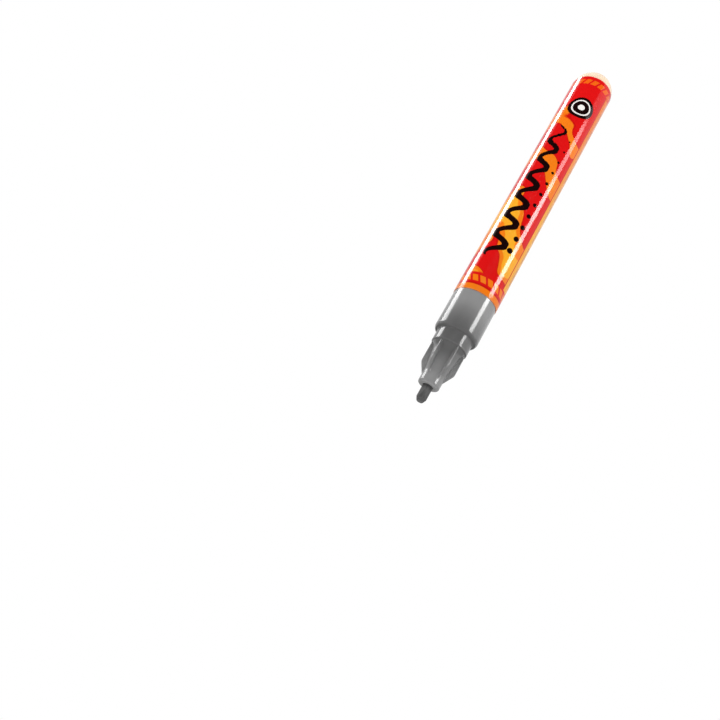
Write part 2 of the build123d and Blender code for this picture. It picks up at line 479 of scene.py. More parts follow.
@dataclass(frozen=True)
class NibFibre(Finish):
    """Pressed fibre soaked with grey paint: fine fibres along the rod, darker at the wet writing end."""

    wet_height: float
    wet_share: float = 0.7
    wet_core: float = 0.4
    ragged_edge: float = 1.2
    patch_share: float = 0.4
    patch_relief: float = 0.3
    dry_roughness: float = 0.85
    wet_gloss: float = 0.15
    specular: float = 0.25

    def paint(self, surface: Surface) -> None:
        """Mixes dry and wet fibres.

        Args:
            surface: The new material.
        """
        nodes = surface.nodes
        fibres = nodes.noise(nodes.drawn_place(squeeze=0.09), scale=5200.0, detail=3.0)
        tone = surface.tone(patches=700.0, grain=6000.0)
        ragged = fibres * (self.ragged_edge * MM) + nodes.split(nodes.place())[2]
        wet = ragged.remap(self.wet_height * MM, self.wet_core * self.wet_height * MM, smooth=True)
        colour = nodes.mix(fibres.remap(0.42, 0.68), Hue.NIB, Hue.NIB_FIBRE)
        for share in (tone * self.patch_share, wet * self.wet_share):
            colour = nodes.mix(share, colour, Hue.NIB_WET)
        rough = wet * -self.wet_gloss + self.dry_roughness
        surface.set({"Base Color": colour, "Roughness": rough, "Specular IOR Level": self.specular})
        surface.bump(tone * self.patch_relief + fibres, depth=0.05, strength=0.8)


@dataclass(frozen=True)
class SealRubber(Finish):
    """Matte black rubber with a faint bloom."""

    roughness: float = 0.45
    bloom: float = 0.2

    def paint(self, surface: Surface) -> None:
        """Mixes two blacks.

        Args:
            surface: The new material.
        """
        tone = surface.tone(patches=500.0, grain=5000.0)
        colour = surface.nodes.mix(tone, Hue.RUBBER, Hue.BLACK)
        surface.set({"Base Color": colour, "Roughness": tone * self.bloom + self.roughness})
        surface.bump(tone, depth=0.01)


@dataclass(frozen=True)
class BrightSteel(Finish):
    """Bright steel with fine marks."""

    roughness: float
    scuffs: float
    dull_share: float = 0.25
    scuff_haze: float = 0.2
    tone_haze: float = 0.06

    def paint(self, surface: Surface) -> None:
        """Mixes bright and duller steel.

        Args:
            surface: The new material.
        """
        tone = surface.tone(patches=400.0, grain=4000.0)
        marks = surface.scuffs(scale=3600.0, amount=self.scuffs, depth=0.004)
        dull = surface.nodes.mix(self.dull_share, Hue.STEEL, Hue.GREY)
        colour = surface.nodes.mix(tone, Hue.STEEL, dull)
        rough = marks * self.scuff_haze + tone * self.tone_haze + self.roughness
        surface.set({"Base Color": colour, "Roughness": rough, "Metallic": 1.0})


@dataclass
class LabelPrint:
    """The label's generic print: flowing orange on red, a wave, dots, a ringed disc, a stripe and end rings.

    Sizes are in millimetres: across is measured around the barrel from its front, and along from the label's
    front edge.
    """

    nodes: NodeBuilder
    radius: float
    front: float
    length: float
    soft: float = 0.06
    flow_rate: float = 0.26
    flow_sway: float = 1.7
    flow_drift: float = 1.3
    flow_drift_rate: float = 0.11
    flow_stir: float = 3.2
    flow_stir_scale: float = 150.0
    flow_levels: Span = (-0.35, 1.15)
    flow_rim: float = 0.16
    flow_core: float = 0.62
    flow_soft: float = 0.05
    flow_margin: float = 6.6
    flow_fade: float = 0.4
    wave_ends: Span = (13.0, 69.0)
    wave_tips: Span = (3.0, 9.0)
    wave_middle: float = -2.7
    wave_swing: float = 2.35
    wave_narrowing: float = 0.72
    wave_pitch: float = 8.0
    wave_half: float = 1.0
    wave_dry_from: float = 44.0
    wave_dry_loss: float = 0.75
    dot_start: float = 15.0
    dot_count: int = 11
    dot_pitch: float = 4.6
    dot_middle: float = 1.75
    dot_radii: Span = (0.95, 0.3)
    disc_place: Span = (-0.4, 78.0)
    disc_radius: float = 4.4
    disc_ring: Span = (2.75, 3.25)
    disc_dot: float = 1.15
    stripe_sides: Span = (6.4, 10.6)
    stripe_margins: Span = (6.2, 3.8)
    stripe_rim: float = 0.35
    stripe_ripening: Span = (0.35, 0.8)
    dash_sides: Span = (8.25, 8.75)
    dash_ends: Span = (0.8, 7.2)
    dash_pitch: float = 8.5
    dash_margins: Span = (9.0, 5.8)
    tooth_count: int = 18
    tooth_height: float = 2.1
    tooth_gap: float = 0.35
    tooth_lean: float = 0.5
    tooth_rings: Span = (3.4, 3.5)
    end_band: Span = (2.2, 2.8)

    def __post_init__(self) -> None:
        """Finds the places on the unrolled label."""
        self.place = self.nodes.place()
        x, y, z = self.nodes.split(self.place)
        self.across = x.math("ARCTAN2", y * -1.0) * self.radius
        self.along = z * (1 / MM) - self.front

    def flow(self) -> Term:
        """Field of the flowing patches, less a level that rises towards the back.

        Returns:
            The field, positive inside a patch.
        """
        sway = (self.across * (2 / self.radius)).math("SINE") * self.flow_sway
        drift = (self.along * self.flow_drift_rate).math("SINE") * self.flow_drift
        stir = self.nodes.noise(self.place, self.flow_stir_scale, detail=0.6) * self.flow_stir
        phase = self.along * self.flow_rate + sway + drift + stir
        return phase.math("SINE") - self.along.remap(0.0, self.length, *self.flow_levels)

    def wave(self) -> Term:
        """Mask of the bold brushed wave along the front of the label, which runs dry towards its end.

        Returns:
            The mask.
        """
        start, end = self.wave_ends
        front_tip, back_tip = self.wave_tips
        rate = FULL_TURN / self.wave_pitch
        angle = self.along * rate
        reach = self.along.remap(end, start, self.wave_narrowing * self.wave_swing, self.wave_swing)
        slope = angle.math("COSINE") * reach * rate
        lean = (slope * slope + 1.0).math("SQRT")
        away = abs(self.across - (angle.math("SINE") * reach + self.wave_middle)) / lean
        tip = self.along.remap(start, start + front_tip) * self.along.remap(end, end - back_tip)
        bristles = self.nodes.noise(self.nodes.drawn_place(squeeze=0.12), scale=2300.0).remap(0.4, 0.75)
        dry = bristles * self.along.remap(self.wave_dry_from, end)
        half = (dry * -self.wave_dry_loss + self.wave_half) * tip.math("SQRT")
        return away.below(half, self.soft) * tip.math("GREATER_THAN", 0.0)

    def dots(self) -> Term:
        """Mask of a row of dots that get smaller towards the back.

        Returns:
            The mask.
        """
        step = (self.along - self.dot_start) / self.dot_pitch
        cell = step.math("FLOOR")
        away = distance((step - cell - 0.5) * self.dot_pitch, self.across - self.dot_middle)
        radius = cell.remap(0.0, self.dot_count - 1.0, *self.dot_radii)
        end = self.dot_start + self.dot_count * self.dot_pitch
        return away.below(radius, self.soft) * self.along.band(self.dot_start, end, self.soft / 6)

    def teeth(self, start: float, lean: float) -> Term:
        """Mask of a ring of slanted bars.

        Args:
            start: Where the ring starts along the label.
            lean: Slant of the bars.

        Returns:
            The mask.
        """
        pitch = FULL_TURN * self.radius / self.tooth_count
        inside = ((self.along * lean + self.across) / pitch).math("FRACT") * pitch
        bars = inside.band(self.tooth_gap, pitch - self.tooth_gap, self.soft)
        return bars * self.along.band(start, start + self.tooth_height, self.soft)

    def stripe_layers(self) -> list[tuple[Term, Hue]]:
        """The stripe along one side, with its rim and its row of dashes.

        Returns:
            Mask and ink of each layer.
        """
        low, high = self.stripe_sides
        front, back = self.stripe_margins[0], self.length - self.stripe_margins[1]
        stretch = self.along.band(front, back, self.soft)
        stripe = self.across.band(low, high, self.soft) * stretch
        ripening = [share * self.length for share in self.stripe_ripening]
        step = (self.along / self.dash_pitch).math("FRACT") * self.dash_pitch
        dashes = self.across.band(*self.dash_sides, self.soft) * step.band(*self.dash_ends, self.soft)
        row = self.along.band(self.dash_margins[0], self.length - self.dash_margins[1], self.soft)
        return [
            (self.across.band(low - self.stripe_rim, low, self.soft) * stretch, Hue.DEEP_RED),
            (stripe, Hue.AMBER),
            (stripe * self.along.remap(*ripening), Hue.ORANGE),
            (dashes * row, Hue.BROWN),
        ]

    def ink(self) -> Term:
        """Lays the inks over each other.

        Returns:
            The printed colour.
        """
        flow, soft = self.flow(), self.soft
        clear = self.along.band(self.flow_margin, self.length - self.flow_margin, self.flow_fade)
        disc = distance(self.across - self.disc_place[0], self.along - self.disc_place[1])
        black = self.wave().math("MAXIMUM", self.dots()).math("MAXIMUM", disc.below(self.disc_radius, soft))
        white = disc.band(*self.disc_ring, soft).math("MAXIMUM", disc.below(self.disc_dot, soft))
        front_teeth, rear_teeth = self.tooth_rings
        layers = [
            (flow.band(-self.flow_rim, 0.0, self.flow_soft) * clear, Hue.DEEP_RED),
            (flow.above(0.0, self.flow_soft) * clear, Hue.ORANGE),
            (flow.above(self.flow_core, self.flow_soft) * clear, Hue.AMBER),
            *self.stripe_layers(),
            (black, Hue.BLACK),
            (white, Hue.WHITE),
            (self.teeth(front_teeth, self.tooth_lean), Hue.ORANGE),
            (self.teeth(self.length - rear_teeth, -self.tooth_lean), Hue.FLAME),
            (self.along.band(*self.end_band, soft), Hue.DEEP_RED),
            (self.along.below(self.end_band[0], soft), Hue.ORANGE),
        ]
        colour = Hue.RED
        for mask, hue in layers:
            colour = self.nodes.mix(mask, colour, hue)
        return colour


@dataclass(frozen=True)
class PrintedFilm(Finish):
    """Glossy label film with its print. Sizes are in millimetres."""

    radius: float
    front: float
    length: float
    roughness: float = 0.1
    specular: float = 0.25
    scuff_haze: float = 0.18
    edge_share: float = 0.15
    mottling: Span = (0.95, 1.04)

    def paint(self, surface: Surface) -> None:
        """Prints the film, with slight mottling and rubbed edges.

        Args:
            surface: The new material.
        """
        nodes = surface.nodes
        value = surface.tone(patches=90.0, grain=9000.0).remap(0.0, 1.0, *self.mottling)
        marks = surface.scuffs(scale=2800.0, amount=0.35, depth=0.0015)
        ink = LabelPrint(nodes, self.radius, self.front, self.length).ink()
        mottled = nodes.value("ShaderNodeHueSaturation", {"Value": value, "Color": ink})
        colour = nodes.mix(surface.worn(breakup=900.0) * self.edge_share, mottled, Hue.WHITE)
        rough = marks * self.scuff_haze + self.roughness
        surface.set({"Base Color": colour, "Roughness": rough, "Specular IOR Level": self.specular})


def smooth(mesh: bpy.types.Mesh, crease_degrees: float = 38.0) -> None:
    """Shades a mesh smooth up to a crease angle."""
    mesh.shade_smooth()
    mesh.set_sharp_from_angle(angle=math.radians(crease_degrees))


def even_angles(count: int) -> np.ndarray:
    """Even angles around the axis, in radians."""
    return np.linspace(-math.pi, math.pi, count, endpoint=False)


def new_object(name: str, mesh: bpy.types.Mesh) -> bpy.types.Object:
    """Puts a mesh into the scene at the origin.

    Args:
        name: Name of the new object.
        mesh: Its mesh.

    Returns:
        The object.
    """
    piece = bpy.data.objects.new(name, mesh)
    bpy.context.scene.collection.objects.link(piece)
    return piece


def box_ends(node: str) -> Span:
    """Heights of a CAD node's front and back, in millimetres."""
    low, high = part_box(node)
    return low.z / MM, high.z / MM


@dataclass
class TurnedOutline:
    """An outline in millimetres that is turned about the marker's axis.

    The corners hold a radius, a height and the radius of the corner's round. They run up the outside and down
    the inside, and the last joins the first.
    """

    corners: Sequence[Triple]
    arc_steps: int = 5
    hold: float = 0.3
    row_step: float = 1000.0
    rubbed_below: float = 0.5
    arm_share: float = 0.45

    def _rounded(self, at: int) -> list[Triple]:
        """One corner with its round, and with rows beside it that keep the faces flat.

        Args:
            at: Number of the corner.

        Returns:
            Radius, height and edge mask of each point.
        """
        corner = np.array(self.corners[at][:2])
        radius = self.corners[at][2]
        if radius <= 0:
            return [(corner[0], corner[1], 0.0)]
        arms = [np.array(self.corners[(at + side) % len(self.corners)][:2]) - corner for side in (-1, 1)]
        lengths = [float(np.linalg.norm(arm)) for arm in arms]
        before, after = arms[0] / lengths[0], arms[1] / lengths[1]
        half = math.acos(max(-1.0, min(1.0, float(before @ after)))) / 2
        reach = min(radius / math.tan(half), self.arm_share * min(lengths))
        inward = (before + after) / np.linalg.norm(before + after)
        centre = corner + inward * reach * math.tan(half) / math.sin(half)
        first, last = corner + before * reach - centre, corner + after * reach - centre
        sweep = math.pi - 2 * half
        mask = float(radius < self.rubbed_below)
        points = []
        if reach + self.hold < lengths[0] / 2:
            points.append((*(corner + before * (reach + self.hold)), 0.0))
        for share in np.linspace(0.0, 1.0, self.arc_steps + 1):
            spot = (math.sin((1 - share) * sweep) * first + math.sin(share * sweep) * last) / math.sin(sweep)
            points.append((*(centre + spot), mask))
        if reach + self.hold < lengths[1] / 2:
            points.append((*(corner + after * (reach + self.hold)), 0.0))
        return points

    def rows(self) -> np.ndarray:
        """Spreads rows over the rounded outline.

        Returns:
            Radius, height and edge mask of each row of the turned mesh.
        """
        found = [point for at in range(len(self.corners)) for point in self._rounded(at)]
        dense = []
        for here, there in zip(found, found[1:] + found[:1]):
            steps = math.ceil(math.hypot(there[0] - here[0], there[1] - here[1]) / self.row_step)
            steps = 1 if max(here[0], there[0]) < NO_RADIUS else max(steps, 1)
            dense += [tuple(a + (b - a) * step / steps for a, b in zip(here, there)) for step in range(steps)]
        return np.array(dense)

    def mesh(
        self, name: str, angles: np.ndarray, swell: Optional[np.ndarray] = None, swell_from: float = 0.0
    ) -> bpy.types.Mesh:
        """Turns the outline.

        Args:
            name: Name of the mesh.
            angles: Angles of its columns from +X, in radians, rising.
            swell: What each column adds to the radius, in millimetres.
            swell_from: Radius from which rows take the swell.

        Returns:
            A closed mesh with faces outwards, in metres.
        """
        count = len(angles)
        places, masks, rings = [], [], []
        for radius, height, mask in self.rows():
            start = len(places)
            if radius < NO_RADIUS:
                rings.append([start] * count)
                places.append((0.0, 0.0, height * MM))
            else:
                extra = swell if swell is not None and radius >= swell_from else np.zeros(count)
                rings.append(list(range(start, start + count)))
                for angle, reach in zip(angles, (radius + extra) * MM):
                    places.append((reach * math.cos(angle), reach * math.sin(angle), height * MM))
            masks += [mask] * (len(places) - start)
        faces = []
        for low, high in zip(rings, rings[1:] + rings[:1]):
            for at in range(count):
                after = (at + 1) % count
                loop = list(dict.fromkeys((low[at], low[after], high[after], high[at])))
                if len(loop) > 2:
                    faces.append(loop)
        mesh = bpy.data.meshes.new(name)
        mesh.from_pydata(places, [], faces)
        mesh.attributes.new(EDGE_ATTRIBUTE, "FLOAT", "POINT").data.foreach_set("value", masks)
        smooth(mesh)
        return mesh


def dome_corners(radius: float, height: float, base: float, share: float, count: int) -> list[Triple]:
    """A dome as two tangent arcs, from the wall to the axis.

    Args:
        radius: Radius of the wall.
        height: Height of the dome.
        base: Height at which the wall ends.
        share: Radius of the arc at the wall, as a share of the height.
        count: Points on each arc.

    Returns:
        Corners from just above the wall's end to the axis.
    """
    rim = share * height
    inset = radius - rim
    crown = (inset * inset + height * height - rim * rim) / (2 * (height - rim))
    lean = math.atan2(crown - height, inset)
    found = []
    for step in range(1, count + 1):
        angle = lean * step / count
        found.append((inset + rim * math.cos(angle), base + rim * math.sin(angle), 0.0))
    for step in range(1, count):
        angle = lean + (math.pi / 2 - lean) * step / count
        found.append((crown * math.cos(angle), base + height - crown + crown * math.sin(angle), 0.0))
    return [*found, (0.0, base + height, 0.0)]


class GeometryTree:
    """A Geometry Nodes tree with named inputs, run once on a piece."""

    def __init__(self, name: str, sizes: Sequence[str], counts: Sequence[str] = ()) -> None:
        """Starts the tree.

        Args:
            name: Name of the tree.
            sizes: Names of its inputs that are lengths, angles or shares.
            counts: Names of its inputs that are whole numbers.
        """
        self.tree = bpy.data.node_groups.new(name, "GeometryNodeTree")
        kinds = {"Geometry": "NodeSocketGeometry", "Material": "NodeSocketMaterial"}
        kinds |= dict.fromkeys(sizes, "NodeSocketFloat") | dict.fromkeys(counts, "NodeSocketInt")
        make = self.tree.interface.new_socket
        made = {label: make(name=label, in_out="INPUT", socket_type=kind) for label, kind in kinds.items()}
        make(name="Geometry", in_out="OUTPUT", socket_type=kinds["Geometry"])
        self.keys = {label: socket.identifier for label, socket in made.items()}
        self.nodes = NodeBuilder(self.tree)
        entry = self.nodes.add("NodeGroupInput")
        self.given = {label: Term(self.nodes, entry.outputs[label]) for label in kinds}

    def move(self, shape: Feed, parts: Sequence[Feed]) -> Term:
        """The geometry with each point at a new place, given by its three parts."""
        place = self.nodes.value("ShaderNodeCombineXYZ", dict(enumerate(parts)))
        return self.nodes.value("GeometryNodeSetPosition", {"Geometry": shape, "Position": place})

    def close(self, shape: Term) -> None:
        """Ends the tree with Realize Instances and Set Material.

        Args:
            shape: The finished geometry.
        """
        real = self.nodes.value("GeometryNodeRealizeInstances", {0: shape})
        feeds = {0: real, "Material": self.given["Material"]}
        self.nodes.add("NodeGroupOutput", {0: self.nodes.value("GeometryNodeSetMaterial", feeds)})

    def run(
        self,
        name: str,
        lengths: dict[str, float],
        others: dict[str, Feed],
        start: Optional[bpy.types.Mesh] = None,
    ) -> bpy.types.Mesh:
        """Runs the tree on a mesh.

        Args:
            name: Name of the new mesh.
            lengths: Inputs that are lengths, in millimetres.
            others: The other named inputs.
            start: The mesh that goes in, if the tree needs one.

        Returns:
            The result as a plain mesh.
        """
        carrier = new_object(f"{name}_carrier", start or bpy.data.meshes.new(f"{name}_start"))
        modifier = carrier.modifiers.new("tree", "NODES")
        modifier.node_group = self.tree
        for label, value in {**{label: size * MM for label, size in lengths.items()}, **others}.items():
            modifier[self.keys[label]] = value
        graph = bpy.context.evaluated_depsgraph_get()
        shown = carrier.evaluated_get(graph)
        mesh = bpy.data.meshes.new_from_object(shown, preserve_all_data_layers=True, depsgraph=graph)
        mesh.name = name
        carrier.modifiers.remove(modifier)
        bpy.data.objects.remove(carrier)
        smooth(mesh)
        return mesh


def fin_tree() -> GeometryTree:
    """The tree that raises even fins out of a turned nose.

    Returns:
        The tree.
    """
    sizes = ["Fin Radius", "Root Radius", "Thickness", "Edge", "Crown", "Corner"]
    places = ["Front", "Bevel Length", "Back"]
    tree = GeometryTree("raised_fins", [*sizes, *places, "Phase"], ["Count"])
    fin, root, thickness, edge, crown, corner = [tree.given[size] for size in sizes]
    front, bevel_length, back = [tree.given[place] for place in places]
    count, root_margin = tree.given["Count"], 0.97
    across, beside, height = tree.nodes.split(tree.nodes.value("GeometryNodeInputPosition"))
    radius = distance(across, beside)
    share = (beside.math("ARCTAN2", across) - tree.given["Phase"]) * (count / FULL_TURN)
    sideways = abs(share - share.math("ROUND")) / count * FULL_TURN * fin
    half = thickness * 0.5
    aside = sideways / half
    bevel = (height - front) * ((fin - root) / bevel_length) + root
    top = bevel.math("SMOOTH_MIN", fin, corner) - aside * aside * crown
    rise = (top - radius).math("MAXIMUM", 0.0) * sideways.below(half, edge)
    outside = radius.math("GREATER_THAN", root * root_margin)
    grow = (radius + rise * (outside * height.math("LESS_THAN", back))) / radius
    tree.close(tree.move(tree.given["Geometry"], (across * grow, beside * grow, height)))
    return tree


def coil_tree() -> GeometryTree:
    """The tree that winds a round wire or ridge into a right-handed coil.

    Returns:
        The tree.
    """
    sizes = ["Turns", "Radius", "Base", "Height", "Wire Radius", "Closed Share", "Taper Share"]
    tree = GeometryTree("wound_coil", sizes)
    turns, radius, base, height, wire, closed_share, taper_share = [tree.given[size] for size in sizes]
    turn_steps, wire_sides, least_taper, end_size = 72, 14, 1e-5, 0.3
    winding = {"Resolution": turn_steps, "Rotations": turns}
    ends = {"Start Radius": radius, "End Radius": radius, "Height": 0.0}
    spiral = tree.nodes.value("GeometryNodeCurveSpiral", {**winding, **ends})
    share = tree.nodes.value("GeometryNodeSplineParameter", output="Factor")
    rest = share * -1.0 + 1.0
    angle = share * turns * FULL_TURN
    closed = turns * wire * 2.0 * closed_share.math("GREATER_THAN", 0.0)
    spread = share.remap(closed_share, closed_share * -1.0 + 1.0)
    rise = share * closed + spread * (height - closed)
    spot = (angle.math("COSINE") * radius, angle.math("SINE") * radius, base + rise)
    taper = taper_share.math("MAXIMUM", least_taper)
    size = (share / taper).math("MINIMUM", rest / taper).remap(0.0, 1.0, end_size, 1.0, smooth=True)
    ring = tree.nodes.value("GeometryNodeCurvePrimitiveCircle", {"Resolution": wire_sides, "Radius": wire})
    feeds = {"Curve": tree.move(spiral, spot), "Profile Curve": ring, "Scale": size, "Fill Caps": True}
    tree.close(tree.nodes.value("GeometryNodeCurveToMesh", feeds))
    return tree


class Finishes:
    """All finishes of the marker, built once, and what dresses the pieces in them."""

    def __init__(self) -> None:
        """Builds the materials."""
        low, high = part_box("label_sleeve")
        film = [size / MM for size in (high.x, low.z, high.z - low.z)]
        cream, acetal = (Hue.CREAM, Hue.CREAM_SHADE, Hue.WHITE), (Hue.ACETAL, Hue.CREAM_SHADE, Hue.WHITE)
        grey = (Hue.GREY, Hue.GREY, Hue.GREY_EDGE)
        kinds = {
            Slot.GREY: MouldedPlastic("grey_plastic_gloss", *grey, roughness=0.1, scuffs=0.45),
            Slot.BARREL: MouldedPlastic(
                "barrel_plastic_natural", *cream, roughness=0.22, scuffs=0.4, glow=0.1
            ),
            Slot.VALVE: MouldedPlastic("valve_plastic_acetal", *acetal, roughness=0.38, scuffs=0.2),
            Slot.LABEL: PrintedFilm("label_film_print", *film),
            Slot.NIB: NibFibre("nib_fibre_soaked", wet_height=4.2),
            Slot.RUBBER: SealRubber("seal_rubber_black"),
            Slot.SPRING: BrightSteel("spring_steel_drawn", roughness=0.24, scuffs=0.5),
            Slot.BALL: BrightSteel("ball_steel_polished", roughness=0.08, scuffs=0.3),
        }
        effects = SharedEffects()
        self.by_slot = {slot: finish.material(effects) for slot, finish in kinds.items()}

    def place(self, mesh: bpy.types.Mesh, body: Body, slot: Slot, *replaced: str) -> bpy.types.Object:
        """Puts a finished mesh into the scene and fixes it to its body.

        Args:
            mesh: The mesh, which gives the piece its name.
            body: The body that it rides on.
            slot: The record's slot for its finish.
            *replaced: CAD nodes that it stands for.

        Returns:
            The piece.
        """
        if not mesh.materials:
            mesh.materials.append(self.by_slot[slot])
        piece = new_object(mesh.name, mesh)
        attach(piece, body.value)
        if replaced:
            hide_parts(*replaced)
        LOG.info("%s: %d faces on %s", piece.name, len(mesh.polygons), body.value)
        return piece

    def dress(self, slot: Slot, *nodes: str) -> None:
        """Gives CAD nodes a better material.

        Args:
            slot: The slot of the finish.
            *nodes: Names of the nodes.
        """
        for node in nodes:
            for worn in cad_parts[node].material_slots:
                worn.material = self.by_slot[slot]
            LOG.info("%s: dressed in %s", node, self.by_slot[slot].name)


@dataclass
class Reservoir:
    """The barrel with its dome, and the printed label around it.

    Sizes are in millimetres. The front taper holds its inset, its length and the radius of its round.
    """

    finishes: Finishes
    bore_radius: float = 5.9
    barrel_radius: float = 6.84
    dome_height: float = 6.6
    dome_wall: float = 1.2
    dome_share: float = 0.85
    dome_steps: tuple[int, int] = (14, 8)
    mouth_chamfer: float = 0.3
    film_thickness: float = 0.15
    film_turnover: float = 0.1
    film_edge: float = 0.04
    front_taper: Triple = (0.12, 1.6, 2.0)
    front_setback: float = 0.43
    seam_overlap: float = 2.0
    seam_rise: float = 0.06
    seam_step: float = 0.004
    seam_places: Sequence[float] = (0.0, 0.25, 0.75, 1.0, 1.6)
    seam_lifts: Sequence[float] = (1.0, 1.0, 1.0, 0.6, 0.0)
    columns: int = 192

    def build_barrel(self) -> None:
        """The tube, its mouth and its dome."""
        front, top = box_ends("barrel")
        front += self.front_setback
        base = top - self.dome_height
        inset, taper, taper_round = self.front_taper
        outer_steps, inner_steps = self.dome_steps
        bore, room = self.bore_radius, self.dome_height - self.dome_wall
        corners = [
            (bore + self.mouth_chamfer, front, 0.05),
            (self.barrel_radius - inset, front, 0.08),
            (self.barrel_radius, front + taper, taper_round),
            (self.barrel_radius, base, 0.0),
            *dome_corners(self.barrel_radius, self.dome_height, base, self.dome_share, outer_steps),
            *reversed(dome_corners(bore, room, base, self.dome_share, inner_steps)),
            (bore, base, 0.0),
            (bore, front + self.mouth_chamfer, 0.0),
        ]
        mesh = TurnedOutline(corners, row_step=8.0).mesh("barrel_dome", even_angles(self.columns))
        self.finishes.place(mesh, Body.BARREL, Slot.BARREL, "barrel")

    def build_label(self) -> None:
        """The label film, with its glued overlap along the back."""
        front, back = box_ends("label_sleeve")
        front += self.front_setback - self.film_turnover
        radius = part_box("label_sleeve")[1].x / MM
        inner = radius - self.film_thickness
        inset, taper, taper_round = self.front_taper
        corners = [
            (radius - inset, front, self.film_edge),
            (radius, front + taper, taper_round),
            (radius, back, self.film_edge),
            (inner, back, 0.0),
            (inner, front + taper, taper_round),
            (inner - inset, front, 0.0),
        ]
        width = self.seam_overlap / radius
        steps = math.pi / 2 + np.array([-self.seam_step, *(place * width for place in self.seam_places)])
        angles = np.unique(np.concatenate([even_angles(self.columns), steps]))
        lift = (np.interp(angles, steps, [0.0, *self.seam_lifts]) - 0.5) * self.seam_rise
        outline = TurnedOutline(corners, arc_steps=4)
        mesh = outline.mesh("printed_label", angles, lift, swell_from=radius - 0.1 * self.film_thickness)
        self.finishes.place(mesh, Body.BARREL, Slot.LABEL, "label_sleeve")

    def build(self) -> None:
        """Builds and dresses the reservoir."""
        self.build_barrel()
        self.build_label()
        self.finishes.dress(Slot.BALL, "mixing_ball_1", "mixing_ball_2")


